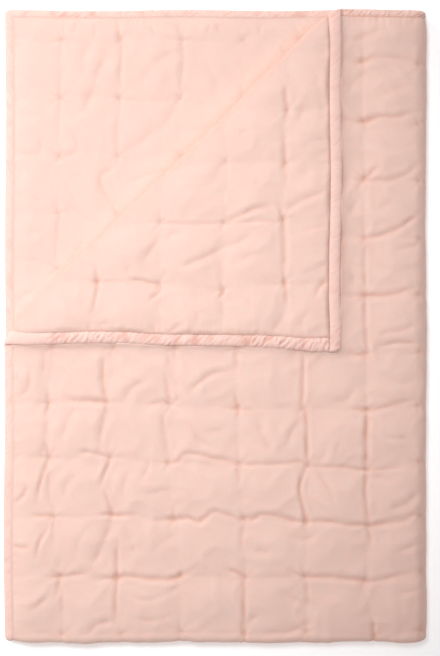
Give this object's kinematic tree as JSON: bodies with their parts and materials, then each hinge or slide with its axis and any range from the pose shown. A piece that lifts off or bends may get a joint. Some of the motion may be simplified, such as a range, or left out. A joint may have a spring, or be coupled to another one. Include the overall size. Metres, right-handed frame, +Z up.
{
  "type": "bedspread",
  "caption": "Tied, wadded bedspread with padded bound edges, folded in quarters, one corner of the top leaf turned back.",
  "frame": {"origin": "middle of the folded pile's outline, on the surface that the pile lies on", "axes": "+X across the pile towards its one big side fold, +Y along the pile towards its open bound end, +Z up from the surface"},
  "size_m": [0.7268, 1.0856, 0.0589],
  "materials": {
    "quilted_cotton": "matt pale blush plain weave with a faint sheen, pillowed between its ties",
    "binding_cotton": "matt blush plain weave, a little pinker, puckered along its seam"
  },
  "bodies": {
    "root": {"quilted_cloth": "quilted_cotton", "binding_near_side": "binding_cotton", "binding_far_side": "binding_cotton", "binding_near_end": "binding_cotton", "binding_far_end": "binding_cotton"}
  },
  "joints": []
}
